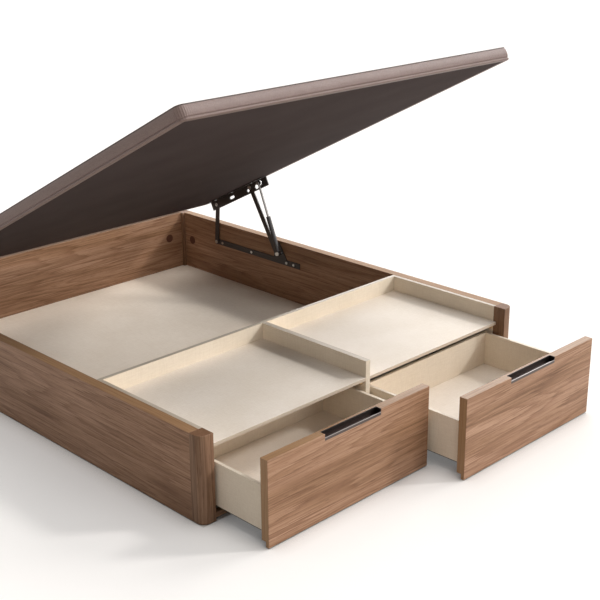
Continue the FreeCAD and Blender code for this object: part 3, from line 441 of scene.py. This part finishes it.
def lid_ring(inset):
    """Points round the lid at an inset from its edge: x, y from the foot end, the outward direction, and
    the way along the edge to the middle of the nearest corner."""
    radius = max(LID_CORNER - inset, SMALLEST_CORNER)
    half = LID_HALF - inset - radius
    low, high = inset + radius, LID_LENGTH - inset - radius
    centres = ((half, low, -90), (half, high, 0), (-half, high, 90), (-half, low, 180))
    quarter = LID_CORNER * math.pi / 2
    points = []
    for number, (x, y, begin) in enumerate(centres):
        for step in range(CORNER_STEPS + 1):
            share = step / CORNER_STEPS
            turn = math.radians(begin + 90 * share)
            out = (math.cos(turn), math.sin(turn))
            points.append((x + radius * out[0], y + radius * out[1], out, quarter * (share - 0.5)))
        x_end, y_end = centres[(number + 1) % 4][:2]
        length = abs(x_end - x) + abs(y_end - y)
        near = [GATHER_REACH * step / GATHER_STEPS for step in range(1, GATHER_STEPS + 1)]
        steps = (LENGTH_STEPS, WIDTH_STEPS)[number % 2]
        between = length - 2 * GATHER_REACH
        ways = near + [GATHER_REACH + between * step / steps for step in range(1, steps)]
        ways += [length - way for way in reversed(near)]
        for way in ways:
            share = way / length
            points.append((
                x + (x_end - x) * share + radius * out[0], y + (y_end - y) * share + radius * out[1], out,
                min(way, length - way) + quarter / 2,
            ))
    return points


def lid_mesh(name, rings):
    """A mesh of rings round the lid, the last one filled with a flat face."""
    count = len(rings[0])
    points = [point for ring in rings for point in ring]
    faces = []
    for row in range(len(rings) - 1):
        for k in range(count):
            a, b = row * count + k, row * count + (k + 1) % count
            faces.append((a, b, b + count, a + count))
    last = (len(rings) - 1) * count
    faces.append(tuple(range(last, last + count)))
    mesh = bpy.data.meshes.new(name)
    mesh.from_pydata(points, [], faces)
    for polygon in mesh.polygons:
        polygon.use_smooth = True
    piece = bpy.data.objects.new(name, mesh)
    piece.matrix_world = lid_to_world
    bpy.context.collection.objects.link(piece)
    return piece


# The cover in section, as inset and height in metres: border from its stapled edge, piping, top
BORDER = (
    (0.0240, 0.0006), (0.0080, 0.0002), (0.0026, 0.0004), (0.0008, 0.0018), (0.0002, 0.0040),
    (0.0005, 0.0062), (0.0026, 0.0078), (0.0032, 0.0090), (0.0012, 0.0106), (0.0003, 0.0150),
    (-0.0006, 0.0230), (-0.0004, 0.0310), (0.0004, 0.0370), (0.0014, 0.0405), (0.0028, 0.0428),
)
PIPING = ((0.0024, 0.0440), (0.0024, 0.0456), (0.0036, 0.0470), (0.0052, 0.0470), (0.0062, 0.0458))
TOP = (
    (0.0085, 0.0462), (0.0140, 0.0474), (0.0300, 0.0488), (0.0700, 0.0496), (0.1600, 0.0500),
    (0.3500, 0.0502), (0.6000, 0.0502),
)
# Waves of the border: share of the depth, radians per metre of length and of rise, and start in radians
WAVES = ((1, 9.1, 0, 1.3), (0.6, 23.7, 40, 0), (0.3, 57.0, 0, 0))
BORDER_RISE = 0.044
LOOSE_INSET = 0.002
WAVE_DEPTH = 0.00022
PLEAT_DEPTH = 0.0015
PLEAT_PITCH = 0.0075
PLEAT_SLANT = 30
PLEAT_FADE = 0.030


def slack(x, y, out, way_to_corner, height):
    """How far the border stands off its tight shape: waves along the sides, pleats round the corners."""
    middle = math.sin(math.pi * min(max(height / BORDER_RISE, 0), 1))
    way = x * abs(out[1]) + y * abs(out[0])
    wave = sum(part * math.sin(way * run + height * rise + start) for part, run, rise, start in WAVES)
    gather = math.exp(-(way_to_corner / PLEAT_FADE) ** 2)
    fold = 0.5 + 0.5 * math.cos(2 * math.pi * way_to_corner / PLEAT_PITCH + PLEAT_SLANT * height)
    return middle * WAVE_DEPTH * wave - math.sqrt(middle) * PLEAT_DEPTH * gather * fold


def finer(profile):
    """A profile with one more point between each two, on a smooth curve through them."""
    last = len(profile) - 1
    points = []
    for number in range(last):
        before, here, following, after = (profile[min(max(number + k, 0), last)] for k in (-1, 0, 1, 2))
        points.append(here)
        points.append(tuple(
            (9 * (b + c) - a - d) / 16 for a, b, c, d in zip(before, here, following, after)
        ))
    return points + [profile[-1]]


cover_rings = []
for inset, height in finer(BORDER + PIPING + TOP):
    ring = []
    for x, y, out, way_to_corner in lid_ring(max(inset, 0)):
        push = slack(x, y, out, way_to_corner, height) if inset < LOOSE_INSET else 0
        push += max(-inset, 0)
        ring.append((x + push * out[0], y + push * out[1], height))
    cover_rings.append(ring)
lid_border = lid_mesh("lid_border", cover_rings)


def faux_leather(name, colours):
    """Polyurethane coated fabric: taupe, a fine pebble grain, low gloss with a soft haze along folds."""
    material, tree, place = start_material(name)
    # Pebbles are 0.8 mm; drawn at 2.2 mm so that they show
    pebbles = add(tree, "TexVoronoi", {
        "Vector": place, "Scale": 1000 / 2.2, "Randomness": 0.9,
    }, out="Distance")
    # Drift of the coat's colour over 70 mm, 14 to the metre
    drift = add(tree, "TexNoise", {"Vector": place, "Scale": 14, "Detail": 4})
    creases = add(tree, "TexNoise", {
        "Vector": add(tree, "Mapping", {"Vector": place, "Scale": grain(ACROSS, 6, 14)}),
        "Scale": 1, "Detail": 3, "Distortion": 0.6,
    })
    shade = add(tree, "ValToRGB", {"Fac": drift}, stops=list(zip((0.35, 0.65), colours)))
    pits = add(tree, "ValToRGB", {"Fac": pebbles}, stops=[(0.25, "#ffffff"), (0.75, "#e6e0dc")])
    colour = add(tree, "Mix", {0: 1.0, 6: shade, 7: pits}, out=2, data_type="RGBA", blend_type="MULTIPLY")
    height = add(tree, "Math", {0: creases, 1: pebbles}, operation="SUBTRACT")
    relief = add(tree, "Bump", {"Height": height, "Strength": 0.25, "Distance": 0.0006})
    finish(tree, add(tree, "BsdfPrincipled", {
        "Base Color": colour, "Roughness": 0.5, "Normal": relief, "Specular IOR Level": 0.3,
    }))
    return material


lid_border.data.materials.append(faux_leather("taupe_faux_leather", ("#806d67", "#84716b")))
lid_border.data.materials.append(faux_leather("dark_piping", ("#4a3d39", "#544641")))
rows_of_border = 2 * (len(BORDER) - 1)
rows_of_piping = 2 * (len(PIPING) + 1)
per_row = len(cover_rings[0])
for polygon in lid_border.data.polygons:
    row = polygon.index // per_row
    polygon.material_index = 1 if rows_of_border <= row < rows_of_border + rows_of_piping else 0
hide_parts("lid_cover")
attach(lid_border, "lid")


# Cloth under the lid: spunbonded dust cloth.
# One flat piece stretched over the frame from below and stapled over the turned-in edge of the cover.

CLOTH_INSET = 0.021
CLOTH_RINGS = (CLOTH_INSET, 0.023, 0.030, 0.050, 0.120, 0.250, 0.450, 0.650)
CLOTH_HEIGHT = 0.0001
CLOTH_EDGE_HEIGHT = 0.0004


def spunbond():
    """Spunbonded polypropylene: dark brown felted fibre, dull and a little cloudy."""
    material, tree, place = start_material("spunbond_cloth")
    # Fibres are 0.02 mm; drawn at 1.2 mm so that they show
    fibres = add(tree, "TexNoise", {"Vector": place, "Scale": 1000 / 1.2, "Detail": 4})
    # Clouds in the felt over 250 mm
    drift = add(tree, "TexNoise", {"Vector": place, "Scale": 1000 / 250, "Detail": 3})
    shade = add(tree, "ValToRGB", {"Fac": drift}, stops=[(0.35, "#433938"), (0.65, "#493f3e")])
    fuzz = add(tree, "ValToRGB", {"Fac": fibres}, stops=[(0.3, "#d8d2cf"), (0.7, "#ffffff")])
    colour = add(tree, "Mix", {0: 1.0, 6: shade, 7: fuzz}, out=2, data_type="RGBA", blend_type="MULTIPLY")
    relief = add(tree, "Bump", {"Height": fibres, "Strength": 0.2, "Distance": 0.0003})
    finish(tree, add(tree, "BsdfPrincipled", {
        "Base Color": colour, "Roughness": 0.85, "Normal": relief, "Specular IOR Level": 0.1,
    }))
    return material


cloth_rings = []
for inset in CLOTH_RINGS:
    height = CLOTH_HEIGHT if inset > CLOTH_INSET else CLOTH_EDGE_HEIGHT
    cloth_rings.append([(point[0], point[1], height) for point in lid_ring(inset)])
lid_cloth = lid_mesh("lid_cloth", cloth_rings)
lid_cloth.data.materials.append(spunbond())
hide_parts("lid_underside")
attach(lid_cloth, "lid")


# Studio: a white paper floor under a white sky.
# A narrow key lamp stands at the front right; five wide soft lamps from the right, behind, above, the
# front and the left fill the shade.

FLOOR_REACH = 30
FLOOR_LIFT = 0.33
CLOSE_SHADE, WIDE_SHADE = 0.07, 0.5
SKY_FILL = 0.11
WHITE = linear("#ffffff")
# The rear right post's outer corner gives half of the box's width and length
rear_post = cad_points("post_rear_right")
BOX_HALF_WIDTH = max(point.x for point in rear_post)
BOX_HALF_LENGTH = max(point.y for point in rear_post)


def background_rays(tree):
    """1 where a surface is seen, straight, in a reflection or through glass, 0 where it lights others."""
    seen = add(tree, "LightPath", {}, out="Is Camera Ray")
    for ray in ("Is Glossy Ray", "Is Transmission Ray"):
        seen = add(tree, "Math", {0: seen, 1: add(tree, "LightPath", {}, out=ray)}, operation="MAXIMUM")
    return seen


sweep_mesh = bpy.data.meshes.new("studio_floor")
corners = [(x * FLOOR_REACH, y * FLOOR_REACH, 0) for x, y in ((-1, -1), (1, -1), (1, 1), (-1, 1))]
sweep_mesh.from_pydata(corners, [], [(0, 1, 2, 3)])
studio_floor = bpy.data.objects.new("studio_floor", sweep_mesh)
bpy.context.collection.objects.link(studio_floor)
paper, tree, place = start_material("white_paper_sweep")
# The floor is lifted to white for the camera, but not under the box; near what stands on it the lift is less
# and the paper darker: painted contact shade
beyond = []
for axis, reach in (("X", BOX_HALF_WIDTH), ("Y", BOX_HALF_LENGTH)):
    way = add(tree, "SeparateXYZ", {"Vector": place}, out=axis)
    way = add(tree, "Math", {0: way}, operation="ABSOLUTE")
    beyond.append(add(tree, "Math", {0: way, 1: reach}, operation="GREATER_THAN"))
outside = add(tree, "Math", {0: beyond[0], 1: beyond[1]}, operation="MAXIMUM")
close = add(tree, "AmbientOcclusion", {"Distance": CLOSE_SHADE}, out="AO", samples=4)
wide = add(tree, "AmbientOcclusion", {"Distance": WIDE_SHADE}, out="AO", samples=4)
wide = add(tree, "MapRange", {"Value": wide, "From Min": 0.4, "To Min": 0.6})
lift = background_rays(tree)
for share in (outside, close, wide, FLOOR_LIFT):
    lift = add(tree, "Math", {0: lift, 1: share}, operation="MULTIPLY")
shaded_paper = add(tree, "ValToRGB", {"Fac": close}, stops=[(0.08, "#4a443f"), (0.42, "#d9d4cf")])
matt = add(tree, "BsdfDiffuse", {"Color": shaded_paper})
glow = add(tree, "Emission", {"Color": WHITE, "Strength": lift})
finish(tree, add(tree, "AddShader", {0: matt, 1: glow}))
sweep_mesh.materials.append(paper)

world = bpy.data.worlds.new("studio")
world.use_nodes = True
tree = world.node_tree
tree.nodes.clear()
strength = add(tree, "MapRange", {"Value": background_rays(tree), "To Min": SKY_FILL, "To Max": 1.0})
finish(tree, add(tree, "Background", {"Color": WHITE, "Strength": strength}), "World")
bpy.context.scene.world = world

# Turn goes from the foot end to the right, rise above the floor, spread is a lamp's width, all in degrees;
# a level of 1 shows a surface that faces the lamp as bright as its colour is written
LAMPS = (
    # name, turn, rise, level, spread
    ("key_lamp", 52, 33.5, 0.42, 7),
    ("right_lamp", 80, 28, 0.46, 30),
    ("rear_lamp", 130, 34, 0.42, 45),
    ("top_lamp", 90, 85, 0.34, 45),
    ("front_lamp", 22, 18, 0.28, 30),
    ("left_lamp", -40, 24, 0.12, 45),
)
for name, turn, rise, level, spread in LAMPS:
    turn, rise = math.radians(turn), math.radians(rise)
    lamp = bpy.data.lights.new(name, "SUN")
    lamp.energy = math.pi * level
    lamp.angle = math.radians(spread)
    holder = bpy.data.objects.new(name, lamp)
    towards = Vector((math.sin(turn) * math.cos(rise), -math.cos(turn) * math.cos(rise), math.sin(rise)))
    holder.rotation_euler = towards.to_track_quat("Z", "Y").to_euler()
    bpy.context.collection.objects.link(holder)


# Camera at the photo's place: above the eye level of a standing person, in front of the bed's left corner.
# It looks down along the bed from its foot.

EYE = Vector((-2.7361, -3.3993, 1.8628))
YAW = math.radians(44.5)
PITCH = math.radians(20.093)
ROLL = math.radians(-0.475)
ahead = Vector((math.sin(YAW) * math.cos(PITCH), math.cos(YAW) * math.cos(PITCH), -math.sin(PITCH)))
flat_right = Vector((math.cos(YAW), -math.sin(YAW), 0))
flat_up = flat_right.cross(ahead)
right = flat_right * math.cos(ROLL) + flat_up * math.sin(ROLL)
upright = right.cross(ahead)
camera_data = bpy.data.cameras.new("camera")
camera_data.sensor_width = 36
camera_data.lens = 70.67
camera = bpy.data.objects.new("camera", camera_data)
camera.matrix_world = Matrix.Translation(EYE) @ Matrix((right, upright, -ahead)).transposed().to_4x4()
bpy.context.collection.objects.link(camera)
bpy.context.scene.camera = camera
bpy.context.scene.view_settings.view_transform = "Standard"
